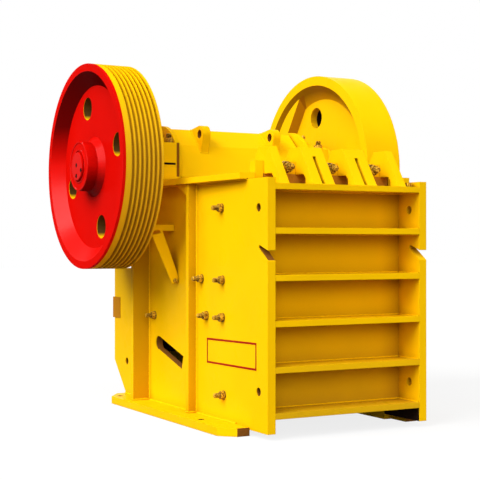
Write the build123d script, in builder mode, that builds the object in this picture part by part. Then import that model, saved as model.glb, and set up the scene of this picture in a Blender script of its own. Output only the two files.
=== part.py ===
"""Jaw crusher with a feed opening of 900 mm by 1200 mm, in millimetres.

The origin is the middle of the four anchor bolts, on the floor. X runs along the shaft,
from the belt sheave (-X) to the flywheel (+X). The ribbed front wall faces -Y, +Z is up.
"""

import os
from math import asin, atan2, cos, degrees, hypot, radians, sin, sqrt

from build123d import *

os.makedirs("parts", exist_ok=True)

SIDES = ((-1, "left"), (1, "right"))
INNER = 0.3            # seating gap between pieces that only lie against each other
BITE = 5               # how far parts of one casting or weldment reach into each other

# Side walls
frame_width = 1470     # over both side walls
wall = 68              # thickness of a side wall
front_y = -1646        # front edges of the side walls
rear_y = 1289          # rear edges, low down
wall_foot_z = 46       # underside, in front of the base plates
wall_top_z = 1961
rear_step_y = 850      # rear edge of the tall part
rear_step_z = 1237     # top of the low rear part
rear_slant_z = 358     # where the rear edge starts to slant in to the foot
step_r = 70
outer_x = frame_width / 2
inner_x = outer_x - wall

# Base plates and anchor bolts
base_out = 220         # how far a base plate stands out from its wall
base_t = 65
base_front_y = -1370
base_rear_y = 1016
base_tuck = 200        # the plate reaches under its wall this far back from its front end
base_corner = 114      # cut front corner
base_rear_cut = (129, 182)
anchor_out = 138       # from the wall's outer face
anchor_y = 825
anchor_r = 28
anchor_x = outer_x + anchor_out

# Openings in the side walls
eye_inset = 138        # lifting eyes, back from the front edge
eye_r = 33
eye_z = (350, 1737)
rear_eye = (991, 364)
notch_low_z = 1336
notch_high_z = 1414
notch_end = (135, 1444)
notch_r = 13
slot_rear = (284, 590)
slot_front_y = -211
slot_slope = 16.1
slot_h = 118

# Front wall with its ribs
rib_depth = 279
rib_t = 46
rib_under_z = (153, 496, 841, 1185, 1539, 1873)
front_t = 60
front_low_z = rib_under_z[0]
deck_z = rib_under_z[-1] + rib_t
front_plate_y = front_y + rib_depth

# Gussets on top of the front wall; the distances run back from the front edges
gusset_h = 300
gusset_foot = (58, 174)
gusset_top = (256, 410)
gusset_rear = 480      # where the rear edge meets the clamp bar
gusset_t = 75
gusset_in = 122        # end gussets, from the side walls' inner faces
gusset_x = inner_x - gusset_in
gusset_pair_t = 85
gusset_pair_gap = 30
gusset_pair_share = 0.3615   # of the end gussets' distance from the middle
gusset_pair_x = gusset_x * gusset_pair_share
gusset_opening_h = 87
gusset_opening_cut = 32
gusset_filler_z = 2145 # the plates of a pair are joined above this

# Clamp bar behind the gussets, over the wedge that holds the fixed jaw plate down
clamp_back = 322       # from the ribs' front edges
clamp_rise = 91        # above the top rib
clamp_y = front_y + clamp_back
clamp_d = 85
clamp_low_z = deck_z + clamp_rise
clamp_h = 96
clamp_end_gap = 8
clamp_half_w = inner_x - clamp_end_gap
wedge_half_w = gusset_x + gusset_t / 2

# Upright ribs on the side walls
side_rib_y = 473
side_rib_t = 50
side_rib_out = (77, 161)
side_rib_low_z = 77

# Bearing shelves
shelf_out = (65, 158)  # at its front end and its rear end
shelf_t = 50
shelf_front = 310
shelf_gusset_d = 268
shelf_gusset_h = 105

# Shaft and bearings
axis_y = 364
axis_z = 2133
shaft_r = 115          # in the bearings
shaft_mid_r = 160      # in the moving jaw
shaft_end_r = 100      # in the wheels
shaft_collar = 20      # the bearing part of the shaft shows this far outside the housings
run_gap = 0.5
bearing_half_l = 410
bearing_hump_r = 295   # round top of the cap
bearing_seat_r = 285
bearing_in = 23        # housing, from the side wall's inner face
bearing_w = 150
bearing_shoulder = 205 # above the axis
bearing_x = (inner_x + bearing_in, inner_x + bearing_in + bearing_w)
cover_lap = 22         # the round covers beside the housings are wider than the barrel by this
cover_t = 38
cover_x = bearing_x[0] - cover_t

# Belt sheave
sheave_r = 886
sheave_w = 360
sheave_clear = 321     # from the side wall to the sheave
sheave_rim = 66        # thickness of the rim at its faces
sheave_cone = 115      # the rim slopes down to the web by this much more
sheave_web_in = 104    # from the outer rim face to the web
web_t = 110
groove_count = 7
groove_pitch = 40
groove_first = 30      # from the machine side
groove_depth = 26
groove_half_w = (14, 6)
hub_r = 212
hub_flare = 50
hub_inside = 40        # the hub stops this far inside the machine side of the rim
hub_end = 38           # stands out past the rim
cap_r = 120
cap_t = 20
wheel_hole_r = 100
wheel_hole_in = 160    # hole middles, in from the foot of the rim
wheel_hole_turn = 73.0
sheave_x = (-outer_x - sheave_clear - sheave_w, -outer_x - sheave_clear)

# Flywheel
fly_r = 937
fly_w = 352
fly_clear = 20         # from the rear side rib to the flywheel
fly_rim = 87
fly_cone = 125
fly_web_in = 119
fly_web_t = 135
fly_hole_turn = 79.5
fly_weight_t = 83      # cast counterweight, from the web towards the machine
fly_weight_cut = (0.292, 0.342)   # its straight edge, in from the wheel's outside, over the wheel's radius
fly_weight_turn = 34.8
fly_x = (outer_x + side_rib_out[1] + fly_clear, outer_x + side_rib_out[1] + fly_clear + fly_w)

# Jaw plates and cheek plates
jaw_gap_top = 900
jaw_gap_low = 135
jaw_t = 100
jaw_low_z = 240
jaw_top_z = 1880
swing_top_z = 1960
cheek_t = 52
cheek_gap = 8
cheek_past = (90, 40)  # the cheek plates reach past the moving jaw's face, low down and at the top

# Moving jaw
jaw_side_gap = 18      # from a cheek plate to the moving jaw
barrel_side_gap = 12   # from a bearing cover to the barrel
barrel_r = 363
cover_r = barrel_r + cover_lap
toggle_front = (-511, 352)
toggle_rear = (439, 645)
toggle_t = 70
toggle_end_r = 48
toggle_in = 77         # the toggle plate is narrower than the moving jaw by this, on each side
socket_gap = 5         # beside the toggle plate's moving end
socket_depth = 68      # from the end's centre to the socket's floor
socket_wall = 80
socket_mouth = 20
tail_z = 180
tail_front = 140       # flat underside, forward from the toggle plate's front end
back_rise = (40, 290)  # where the moving jaw's back starts, from the toggle plate's front end
head_turns = (84.6, 43.4, -12.6)  # top, crease and foot of two flats, in degrees above the axis
head_crease_in = 69    # the crease between the flats lies this deep in the barrel's round
jaw_front_turn = -18   # where the jaw's front joins the barrel
lug_in = 236           # lifting lugs, from the moving jaw's sides
lug_t = 74
lug_r = 75
lug_hole_rise = 108    # the eye's middle, above the crease
lug_hole_r = 39
lug_foot_share = 0.21  # the lugs' front edges start this far down the lower flat
pitman_half_w = inner_x - cheek_t - jaw_side_gap
barrel_half_w = cover_x - barrel_side_gap
toggle_half_w = pitman_half_w - toggle_in
lug_x = pitman_half_w - lug_in

# Rear wall, toggle block and beam
seat_gap = 0.3
rear_wall_t = 70
rear_wall_z = (140, 1160)
rear_wall_back = 330   # from the toggle plate's rear end
toggle_block_h = 300
toggle_block_side = 40
beam = (1148, 1321)
beam_z = (760, 958)
beam_proud = 5
rear_wall_y = toggle_rear[0] + rear_wall_back

# Tension rods under the toggle plate, with springs behind the rear wall
rod_x = 330
rod_z = 232
rod_r = 24
rod_front_y = -560
rod_notch = 50         # half width of the rear wall's notches, and their height over the rods
spring_r = (68, 40)
spring_len = 200
spring_play = 20       # room for the rods to move
rod_washer = (76, 14)
rod_nut = (44, 34)
rod_end = 24           # thread past the nut

# Belt guard bracket on the left wall
arm_z = (1576, 1629)
arm_y = (-40, 100)
arm_out = 300
brace_y = (-110, 40)
brace_out = 170
brace_t = 22
brace_foot_z = 1150


def save(piece, name):
    """Label a finished piece and write its STEP file."""
    piece.part.label = name
    export_step(piece.part, f"parts/{name}.step")


# Worked-out places that several pieces share
fixed_face_y = front_plate_y + front_t + jaw_t + INNER
swing_top = (fixed_face_y + jaw_gap_top, swing_top_z)
swing_low = (fixed_face_y + jaw_gap_low, jaw_low_z)
swing_lean = degrees(atan2(swing_top[0] - swing_low[0], swing_top[1] - swing_low[1]))
swing_len = hypot(swing_top[0] - swing_low[0], swing_top[1] - swing_low[1])
shelf_top_z = wall_top_z + shelf_t


# Side walls, each seen along X with a notch in its front edge
wall_points = [
    (front_y, wall_foot_z), (front_y, notch_low_z),
    (front_y + notch_end[0], notch_end[1] - notch_r), (front_y + notch_end[0] - 6, notch_end[1] + notch_r),
    (front_y, notch_high_z), (front_y, wall_top_z), (rear_step_y, wall_top_z),
    (rear_step_y, rear_step_z), (rear_y, rear_step_z), (rear_y, beam_z[1]), (beam[0], beam_z[1]),
    (beam[0], beam_z[0]), (rear_y, beam_z[0]), (rear_y, rear_slant_z),
    (base_rear_y, base_t), (base_front_y + base_tuck, base_t), (base_front_y + base_tuck, wall_foot_z),
]
slot_l = slot_rear[0] - slot_front_y
slot_middle = Location((slot_rear[0] - slot_l / 2, slot_rear[1] - slot_l / 2 * sin(radians(slot_slope))),
                       (0, 0, slot_slope))

for side, hand in SIDES:
    with BuildPart() as side_wall:
        with BuildSketch(Plane.YZ.offset(side * inner_x)) as wall_sketch:
            with BuildLine():
                Polyline(*wall_points, close=True)
            make_face()
            fillet(wall_sketch.vertices().sort_by_distance((rear_step_y, rear_step_z))[0], step_r)
            fillet(wall_sketch.vertices().sort_by_distance((front_y + notch_end[0], notch_end[1]))[:2], 8)
            with Locations((front_y + eye_inset, eye_z[0]), (front_y + eye_inset, eye_z[1]), rear_eye):
                Circle(eye_r, mode=Mode.SUBTRACT)
            with Locations(slot_rear):
                Circle(slot_h / 2, mode=Mode.SUBTRACT)
            with Locations(slot_middle):
                Rectangle(slot_l, slot_h, mode=Mode.SUBTRACT)
            with Locations((axis_y, axis_z)):
                Circle(bearing_seat_r, mode=Mode.SUBTRACT)
        extrude(amount=side * wall)
    save(side_wall, f"side_wall_{hand}")

# Base plates with two anchor holes each
for side, hand in SIDES:
    with BuildPart() as base_plate:
        with BuildSketch(Plane.XY):
            with BuildLine():
                Polyline(
                    (side * inner_x, base_front_y + base_tuck), (side * outer_x, base_front_y + base_tuck),
                    (side * outer_x, base_front_y), (side * (outer_x + base_out - base_corner), base_front_y),
                    (side * (outer_x + base_out), base_front_y + base_corner),
                    (side * (outer_x + base_out), base_rear_y - base_rear_cut[1]),
                    (side * (outer_x + base_out - base_rear_cut[0]), base_rear_y),
                    (side * inner_x, base_rear_y), close=True)
            make_face()
            with Locations((side * anchor_x, -anchor_y), (side * anchor_x, anchor_y)):
                Circle(anchor_r, mode=Mode.SUBTRACT)
        extrude(amount=base_t)
    save(base_plate, f"base_plate_{hand}")

# Front wall plate and its six level ribs
with BuildPart() as front_wall:
    with BuildSketch(Plane.XZ.offset(-front_plate_y)):
        with Locations((0, (front_low_z + deck_z) / 2)):
            Rectangle(2 * inner_x, deck_z - front_low_z)
    extrude(amount=-front_t)
save(front_wall, "front_wall")

for number, under_z in enumerate(rib_under_z, start=1):
    with BuildPart() as front_rib:
        with BuildSketch(Plane.XY.offset(under_z)):
            with Locations((0, front_y + rib_depth / 2)):
                Rectangle(2 * inner_x, rib_depth)
        extrude(amount=rib_t)
    save(front_rib, f"front_rib_{number}")


# Gussets on the top rib, with an opening at the foot, and a rear edge that rests on the clamp bar
clamp_top_z = clamp_low_z + clamp_h
gusset_top_z = deck_z + gusset_h
opening_z = deck_z + gusset_opening_h
gusset_points = [
    (front_y + gusset_foot[0], deck_z), (front_y + gusset_top[0], gusset_top_z),
    (front_y + gusset_top[1], gusset_top_z), (front_y + gusset_rear, clamp_top_z + INNER),
    (clamp_y - INNER, clamp_top_z + INNER), (clamp_y - INNER, opening_z),
    (front_y + gusset_foot[1] + gusset_opening_cut, opening_z),
    (front_y + gusset_foot[1], opening_z - gusset_opening_cut), (front_y + gusset_foot[1], deck_z),
]
front_lean = (gusset_top[0] - gusset_foot[0]) / gusset_h
rear_lean = (gusset_rear - gusset_top[1]) / (gusset_top_z - clamp_top_z)
filler_points = [
    (front_y + gusset_top[0], gusset_top_z), (front_y + gusset_top[1], gusset_top_z),
    (front_y + gusset_top[1] + rear_lean * (gusset_top_z - gusset_filler_z), gusset_filler_z),
    (front_y + gusset_top[0] - front_lean * (gusset_top_z - gusset_filler_z), gusset_filler_z),
]

with BuildPart() as end_gussets:
    for side, hand in SIDES:
        with BuildSketch(Plane.YZ.offset(side * (gusset_x - gusset_t / 2))):
            with BuildLine():
                Polyline(*gusset_points, close=True)
            make_face()
        extrude(amount=side * gusset_t)
save(end_gussets, "end_gussets")

with BuildPart() as twin_gussets:
    for side, hand in SIDES:
        for step in (-1, 1):
            with BuildSketch(Plane.YZ.offset(side * gusset_pair_x + step * gusset_pair_gap / 2)):
                with BuildLine():
                    Polyline(*gusset_points, close=True)
                make_face()
            extrude(amount=step * gusset_pair_t)
        with BuildSketch(Plane.YZ.offset(side * gusset_pair_x - gusset_pair_gap / 2)):
            with BuildLine():
                Polyline(*filler_points, close=True)
            make_face()
        extrude(amount=gusset_pair_gap)
save(twin_gussets, "twin_gussets")

# Clamp bar with an end block on each side, and the wedge under it
with BuildPart() as jaw_clamp:
    with BuildSketch(Plane.YZ.offset(-clamp_half_w)):
        with Locations((clamp_y + clamp_d / 2, clamp_low_z + clamp_h / 2)):
            Rectangle(clamp_d, clamp_h)
    extrude(amount=2 * clamp_half_w)
    for side, hand in SIDES:
        with BuildSketch(Plane.YZ.offset(side * (wedge_half_w + clamp_end_gap))):
            with Locations((clamp_y + clamp_d / 2, (deck_z + clamp_low_z) / 2)):
                Rectangle(clamp_d, clamp_low_z - deck_z)
        extrude(amount=side * (clamp_half_w - wedge_half_w - clamp_end_gap))
save(jaw_clamp, "jaw_clamp")

wall_back_y = front_plate_y + front_t
with BuildPart() as jaw_wedge:
    with BuildSketch(Plane.YZ.offset(-wedge_half_w)):
        with BuildLine():
            Polyline(
                (clamp_y, deck_z), (wall_back_y + INNER, deck_z),
                (wall_back_y + INNER, jaw_top_z + INNER), (fixed_face_y - INNER, jaw_top_z + INNER),
                (clamp_y + clamp_d, clamp_low_z), (clamp_y, clamp_low_z), close=True)
        make_face()
    extrude(amount=2 * wedge_half_w)
save(jaw_wedge, "jaw_wedge")

# Fixed jaw plate and cheek plates
with BuildPart() as fixed_jaw_plate:
    with BuildSketch(Plane.YZ.offset(-(inner_x - cheek_t - cheek_gap))):
        with Locations((fixed_face_y - jaw_t / 2, (jaw_low_z + jaw_top_z) / 2)):
            Rectangle(jaw_t, jaw_top_z - jaw_low_z)
    extrude(amount=2 * (inner_x - cheek_t - cheek_gap))
save(fixed_jaw_plate, "fixed_jaw_plate")

for side, hand in SIDES:
    with BuildPart() as cheek_plate:
        with BuildSketch(Plane.YZ.offset(side * inner_x)):
            with BuildLine():
                Polyline(
                    (fixed_face_y - jaw_t, jaw_low_z), (swing_low[0] + cheek_past[0], jaw_low_z),
                    (swing_top[0] + cheek_past[1], jaw_top_z), (fixed_face_y - jaw_t, jaw_top_z), close=True)
            make_face()
        extrude(amount=-side * cheek_t)
    save(cheek_plate, f"cheek_plate_{hand}")

# Upright ribs on the side walls, the rear ones twice as deep
for side, hand in SIDES:
    for place, row, out in (("front", -side_rib_y + side_rib_t / 2, side_rib_out[0]),
                            ("rear", side_rib_y + side_rib_t / 2, side_rib_out[1])):
        with BuildPart() as side_rib:
            with BuildSketch(Plane.XY.offset(side_rib_low_z)):
                with Locations((side * (outer_x + out / 2), row)):
                    Rectangle(out, side_rib_t)
            extrude(amount=wall_top_z - side_rib_low_z)
        save(side_rib, f"side_rib_{place}_{hand}")

# Bearing shelves on the wall tops, wider towards the rear, with a gusset behind the front rib
for side, hand in SIDES:
    with BuildPart() as bearing_shelf:
        with BuildSketch(Plane.XY.offset(wall_top_z)):
            with BuildLine():
                Polyline(
                    (side * inner_x, front_y + shelf_front),
                    (side * (outer_x + shelf_out[0]), front_y + shelf_front),
                    (side * (outer_x + shelf_out[1]), rear_step_y), (side * inner_x, rear_step_y), close=True)
            make_face()
        extrude(amount=shelf_t)
        with BuildSketch(Plane.YZ.offset(side * inner_x)):
            with Locations((axis_y, axis_z)):
                Circle(bearing_seat_r)
        extrude(amount=side * wall, mode=Mode.SUBTRACT)
    save(bearing_shelf, f"bearing_shelf_{hand}")
with BuildPart() as shelf_gussets:
    for side, hand in SIDES:
        rib_back_y = -side_rib_y + side_rib_t
        with BuildSketch(Plane.YZ.offset(side * outer_x)):
            with BuildLine():
                Polyline(
                    (rib_back_y, wall_top_z), (rib_back_y, wall_top_z - shelf_gusset_h),
                    (-side_rib_y + shelf_gusset_d, wall_top_z), close=True)
            make_face()
        extrude(amount=side * shelf_out[0])
save(shelf_gussets, "shelf_gussets")

# Bearing housings, split at the shaft's height, each with a round cover on its inner side
for side, hand in SIDES:
    with BuildPart() as bearing_base:
        with BuildSketch(Plane.YZ.offset(side * bearing_x[0])):
            with Locations((axis_y, axis_z)):
                Circle(bearing_seat_r - INNER)
        extrude(amount=side * (outer_x - bearing_x[0] - INNER))
        with BuildSketch(Plane.YZ.offset(side * bearing_x[0])):
            with Locations((axis_y, (shelf_top_z + axis_z) / 2)):
                Rectangle(2 * bearing_half_l, axis_z - shelf_top_z)
        extrude(amount=side * (bearing_x[1] - bearing_x[0]))
        with BuildSketch(Plane.YZ.offset(side * bearing_x[0])):
            with Locations((axis_y, axis_z)):
                Rectangle(4 * bearing_half_l, 2 * bearing_half_l, align=(Align.CENTER, Align.MIN))
                Circle(shaft_r + run_gap)
        extrude(amount=side * (bearing_x[1] - bearing_x[0]), mode=Mode.SUBTRACT)
    save(bearing_base, f"bearing_base_{hand}")
    with BuildPart() as bearing_cap:
        with BuildSketch(Plane.YZ.offset(side * bearing_x[0])):
            with Locations((axis_y, axis_z)):
                Circle(bearing_hump_r)
            with Locations((axis_y, axis_z + bearing_shoulder / 2)):
                Rectangle(2 * bearing_half_l, bearing_shoulder)
            with Locations((axis_y, axis_z)):
                Rectangle(4 * bearing_half_l, 2 * bearing_half_l, align=(Align.CENTER, Align.MAX),
                          mode=Mode.SUBTRACT)
                Circle(shaft_r + run_gap, mode=Mode.SUBTRACT)
        extrude(amount=side * (bearing_x[1] - bearing_x[0]))
    save(bearing_cap, f"bearing_cap_{hand}")
with BuildPart() as bearing_covers:
    for side, hand in SIDES:
        with BuildSketch(Plane.YZ.offset(side * cover_x)):
            with Locations((axis_y, axis_z)):
                Circle(cover_r)
                Circle(shaft_r + run_gap, mode=Mode.SUBTRACT)
            with Locations((axis_y, shelf_top_z)):
                Rectangle(3 * cover_r, 2 * cover_r, align=(Align.CENTER, Align.MAX), mode=Mode.SUBTRACT)
        extrude(amount=side * (bearing_x[0] - cover_x))
save(bearing_covers, "bearing_covers")

# Shaft, thickest inside the moving jaw and thinnest in the wheels
shaft_steps = [
    (sheave_x[0] - hub_end, fly_x[1] + hub_end, shaft_end_r),
    (-bearing_x[1] - shaft_collar, bearing_x[1] + shaft_collar, shaft_r),
    (-barrel_half_w, barrel_half_w, shaft_mid_r),
]
with BuildPart() as eccentric_shaft:
    for start_x, end_x, radius in shaft_steps:
        with BuildSketch(Plane.YZ.offset(start_x)):
            with Locations((axis_y, axis_z)):
                Circle(radius)
        extrude(amount=end_x - start_x)
save(eccentric_shaft, "eccentric_shaft")

# Wheels: each profile is drawn in the half plane above the shaft, and turned about it
shaft_line = Axis((0, axis_y, axis_z), (1, 0, 0))
wheel_plane = Plane(origin=(0, axis_y, axis_z), x_dir=(1, 0, 0), z_dir=(0, -1, 0))


def wheel_profile(outer_face, inner_face, outer_r, rim, cone, web_in, thickness):
    """Half section of a wheel: hub, web, and a rim that slopes down to the web. From outer to inner face."""
    way = 1 if inner_face > outer_face else -1
    web_a = outer_face + way * web_in
    web_b = web_a + way * thickness
    rim_r, foot_r, flare_r = outer_r - rim, outer_r - rim - cone, hub_r + hub_flare
    hub_a, hub_b = outer_face - way * hub_end, inner_face - way * hub_inside
    return [
        (outer_face, outer_r), (inner_face, outer_r), (inner_face, rim_r), (web_b, foot_r),
        (web_b, flare_r), (web_b + way * hub_flare, hub_r), (hub_b, hub_r), (hub_b, shaft_end_r),
        (hub_a, shaft_end_r), (hub_a, hub_r), (web_a - way * hub_flare, hub_r), (web_a, flare_r),
        (web_a, foot_r), (outer_face, rim_r),
    ]


sheave_foot_r = sheave_r - sheave_rim - sheave_cone
with BuildPart() as sheave:
    with BuildSketch(wheel_plane):
        with BuildLine():
            Polyline(*wheel_profile(*sheave_x, sheave_r, sheave_rim, sheave_cone, sheave_web_in, web_t),
                     close=True)
        make_face()
        for groove in range(groove_count):
            groove_mid = sheave_x[1] - groove_first - groove * groove_pitch
            with BuildLine():
                Polyline(
                    (groove_mid - groove_half_w[0], sheave_r + 1),
                    (groove_mid - groove_half_w[1], sheave_r - groove_depth),
                    (groove_mid + groove_half_w[1], sheave_r - groove_depth),
                    (groove_mid + groove_half_w[0], sheave_r + 1), close=True)
            make_face(mode=Mode.SUBTRACT)
    revolve(axis=shaft_line)
    with BuildSketch(Plane.YZ.offset(sheave_x[0])):
        with Locations((axis_y, axis_z)):
            with PolarLocations(sheave_foot_r - wheel_hole_in, 4, start_angle=wheel_hole_turn):
                Circle(wheel_hole_r)
    extrude(amount=sheave_w, mode=Mode.SUBTRACT)
save(sheave, "sheave")

with BuildPart() as flywheel:
    # The counterweight is a slice of a disc that fills the rim, cut to a sloping straight edge
    weight_x = fly_x[0] + fly_web_in - fly_weight_t
    fly_foot_r = fly_r - fly_rim - fly_cone
    weight_r = fly_r - fly_rim - fly_cone * (weight_x - fly_x[0]) / fly_web_in
    web_face = fly_x[0] + fly_web_in
    with BuildSketch(wheel_plane):
        with BuildLine():
            Polyline(
                (weight_x, 0), (weight_x, weight_r + BITE), (web_face + BITE, fly_foot_r),
                (web_face + BITE, 0), close=True)
        make_face()
    revolve(axis=shaft_line)
    turn = radians(fly_weight_turn)
    edge_plane = Plane(origin=(0, axis_y + fly_r * sin(turn), axis_z - fly_r * cos(turn)),
                       x_dir=(1, 0, 0), z_dir=(0, -sin(turn), cos(turn)))
    with BuildSketch(edge_plane):
        with BuildLine():
            Polyline(
                (weight_x - 1, fly_r), (weight_x - 1, fly_r * (1 - fly_weight_cut[0])),
                (web_face + 2 * BITE, fly_r * (1 - fly_weight_cut[1])), (web_face + 2 * BITE, fly_r),
                close=True)
        make_face()
    extrude(amount=2 * fly_r, mode=Mode.INTERSECT)
    with BuildSketch(wheel_plane):
        with BuildLine():
            Polyline(*wheel_profile(*fly_x[::-1], fly_r, fly_rim, fly_cone, fly_w - fly_web_in - fly_web_t,
                                    fly_web_t), close=True)
        make_face()
    revolve(axis=shaft_line)
    with BuildSketch(Plane.YZ.offset(fly_x[0])):
        with Locations((axis_y, axis_z)):
            with PolarLocations(fly_foot_r - wheel_hole_in, 4, start_angle=fly_hole_turn):
                Circle(wheel_hole_r)
    extrude(amount=fly_w, mode=Mode.SUBTRACT)
save(flywheel, "flywheel")

for start_x, way, name in ((sheave_x[0] - hub_end, -1, "sheave_end_cap"),
                           (fly_x[1] + hub_end, 1, "flywheel_end_cap")):
    with BuildPart() as end_cap:
        with BuildSketch(Plane.YZ.offset(start_x)):
            with Locations((axis_y, axis_z)):
                Circle(cap_r)
        extrude(amount=way * cap_t)
    save(end_cap, name)

# Moving jaw body, hung on the middle of the shaft
lean = radians(swing_lean)
jaw_back = (jaw_t * cos(lean), -jaw_t * sin(lean))
toggle_turn = atan2(toggle_rear[1] - toggle_front[1], toggle_rear[0] - toggle_front[0])
toggle_len = hypot(toggle_rear[1] - toggle_front[1], toggle_rear[0] - toggle_front[0])
socket_half = toggle_end_r + socket_gap


def beside_toggle(along, across):
    """Point measured from the toggle plate's front end, along it and across it."""
    return (toggle_front[0] + along * cos(toggle_turn) - across * sin(toggle_turn),
            toggle_front[1] + along * sin(toggle_turn) + across * cos(toggle_turn))


back_start = (toggle_front[0] - back_rise[0], toggle_front[1] + back_rise[1])
back_reach = hypot(axis_y - back_start[0], axis_z - back_start[1])
back_turn = atan2(axis_z - back_start[1], axis_y - back_start[0]) - asin(barrel_r / back_reach)
back_end = (axis_y + barrel_r * sin(back_turn), axis_z - barrel_r * cos(back_turn))


def on_head(turn, reach=barrel_r):
    """Point at a distance from the shaft's axis, turned up from the front by degrees."""
    return (axis_y - reach * cos(radians(turn)), axis_z + reach * sin(radians(turn)))


head_top, head_foot = on_head(head_turns[0]), on_head(head_turns[2])
head_crease = on_head(head_turns[1], barrel_r - head_crease_in)
socket_lip = beside_toggle(socket_mouth, -socket_half - socket_gap)
with BuildPart() as pitman:
    with BuildSketch(Plane.YZ.offset(-pitman_half_w)):
        with BuildLine():
            Polyline(
                (swing_low[0] + jaw_back[0], swing_low[1] + jaw_back[1]),
                (swing_top[0] + jaw_back[0], swing_top[1] + jaw_back[1]),
                on_head(jaw_front_turn), (axis_y, axis_z), back_end, back_start,
                beside_toggle(socket_mouth, socket_half + socket_wall), socket_lip, (socket_lip[0], tail_z),
                (toggle_front[0] - tail_front, tail_z), close=True)
        make_face()
        with Locations(Location(beside_toggle(-socket_depth, 0), (0, 0, degrees(toggle_turn)))):
            Rectangle(3 * socket_depth, 2 * socket_half, align=(Align.MIN, Align.CENTER), mode=Mode.SUBTRACT)
    extrude(amount=2 * pitman_half_w)
    with BuildSketch(Plane.YZ.offset(-barrel_half_w)):
        with Locations((axis_y, axis_z)):
            Circle(barrel_r)
        with BuildLine():
            Polyline(
                head_top, head_crease, head_foot, (head_foot[0] - barrel_r, head_foot[1]),
                (head_foot[0] - barrel_r, head_top[1] + barrel_r), (head_top[0], head_top[1] + barrel_r),
                close=True)
        make_face(mode=Mode.SUBTRACT)
    extrude(amount=2 * barrel_half_w)
    with BuildSketch(Plane.YZ.offset(-barrel_half_w)):
        with Locations((axis_y, axis_z)):
            Circle(shaft_mid_r + run_gap)
    extrude(amount=2 * barrel_half_w, mode=Mode.SUBTRACT)
    with BuildSketch(Plane.XZ.offset(-rod_front_y)):
        with Locations((-rod_x, rod_z), (rod_x, rod_z)):
            Circle(rod_r + INNER)
    extrude(amount=-(socket_lip[0] - rod_front_y), mode=Mode.SUBTRACT)
save(pitman, "pitman")

with BuildPart() as swing_jaw_plate:
    with BuildSketch(Plane.YZ.offset(-pitman_half_w)):
        with BuildLine():
            Polyline(
                swing_low, swing_top, (swing_top[0] + jaw_back[0], swing_top[1] + jaw_back[1]),
                (swing_low[0] + jaw_back[0], swing_low[1] + jaw_back[1]), close=True)
        make_face()
    extrude(amount=2 * pitman_half_w)
save(swing_jaw_plate, "swing_jaw_plate")


def tangent_point(start, centre, radius, side):
    """Where a line from start touches a circle; side 1 or -1 picks the line."""
    reach = hypot(centre[0] - start[0], centre[1] - start[1])
    way = atan2(centre[1] - start[1], centre[0] - start[0]) + side * asin(radius / reach)
    length = sqrt(reach**2 - radius**2)
    return (start[0] + length * cos(way), start[1] + length * sin(way))


lug_eye = (head_crease[0], head_crease[1] + lug_hole_rise)
lug_foot = tuple(top + lug_foot_share * (foot - top) for top, foot in zip(head_crease, head_foot))
with BuildPart() as lifting_lugs:
    for place in (-lug_x, lug_x):
        with BuildSketch(Plane.YZ.offset(place - lug_t / 2)):
            with Locations(lug_eye):
                Circle(lug_r)
            with BuildLine():
                Polyline(
                    lug_foot, tangent_point(lug_foot, lug_eye, lug_r, 1), lug_eye,
                    tangent_point(head_top, lug_eye, lug_r, -1), head_top, head_crease, close=True)
            make_face()
            with Locations(lug_eye):
                Circle(lug_hole_r, mode=Mode.SUBTRACT)
        extrude(amount=lug_t)
save(lifting_lugs, "lifting_lugs")

# Toggle plate, from the moving jaw to the rear wall
with BuildPart() as toggle_plate:
    with BuildSketch(Plane.YZ.offset(-toggle_half_w)):
        with Locations(toggle_front, toggle_rear):
            Circle(toggle_end_r)
        with Locations(Location(beside_toggle(toggle_len / 2, 0), (0, 0, degrees(toggle_turn)))):
            Rectangle(toggle_len, toggle_t)
    extrude(amount=2 * toggle_half_w)
save(toggle_plate, "toggle_plate")

# Rear wall with the toggle block, and the rear beam; the tension rods pass through its notches
with BuildPart() as rear_wall:
    with BuildSketch(Plane.XZ.offset(-rear_wall_y)):
        with Locations((0, sum(rear_wall_z) / 2)):
            Rectangle(2 * inner_x, rear_wall_z[1] - rear_wall_z[0])
        with Locations((-rod_x, rear_wall_z[0]), (rod_x, rear_wall_z[0])):
            Rectangle(2 * rod_notch, 2 * (rod_z + rod_notch - rear_wall_z[0]), mode=Mode.SUBTRACT)
    extrude(amount=-rear_wall_t)
save(rear_wall, "rear_wall")

with BuildPart() as toggle_block:
    with BuildSketch(Plane.YZ.offset(-toggle_half_w - toggle_block_side)):
        with Locations(((toggle_rear[0] + rear_wall_y) / 2, toggle_rear[1])):
            Rectangle(rear_wall_back, toggle_block_h)
        with Locations(toggle_rear):
            Circle(toggle_end_r + seat_gap, mode=Mode.SUBTRACT)
    extrude(amount=2 * (toggle_half_w + toggle_block_side))
save(toggle_block, "toggle_block")

with BuildPart() as rear_beam:
    with BuildSketch(Plane.YZ.offset(-outer_x - beam_proud)):
        with Locations((sum(beam) / 2, sum(beam_z) / 2)):
            Rectangle(beam[1] - beam[0] - INNER, beam_z[1] - beam_z[0] - 2 * INNER)
    extrude(amount=2 * (outer_x + beam_proud))
save(rear_beam, "rear_beam")

# Tension rods, fixed in the foot of the moving jaw; each carries a spring, a washer and a nut
washer_y = rear_wall_y + rear_wall_t + spring_play + spring_len
with BuildPart() as tension_rods:
    rod_len = washer_y + rod_washer[1] + rod_nut[1] + rod_end - rod_front_y
    for start_y, length, radius in ((rod_front_y, rod_len, rod_r), (washer_y, rod_washer[1], rod_washer[0])):
        with BuildSketch(Plane.XZ.offset(-start_y)):
            with Locations((-rod_x, rod_z), (rod_x, rod_z)):
                Circle(radius)
        extrude(amount=-length)
    with BuildSketch(Plane.XZ.offset(-washer_y - rod_washer[1])):
        with Locations((-rod_x, rod_z), (rod_x, rod_z)):
            RegularPolygon(rod_nut[0], 6)
    extrude(amount=-rod_nut[1])
save(tension_rods, "tension_rods")

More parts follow.
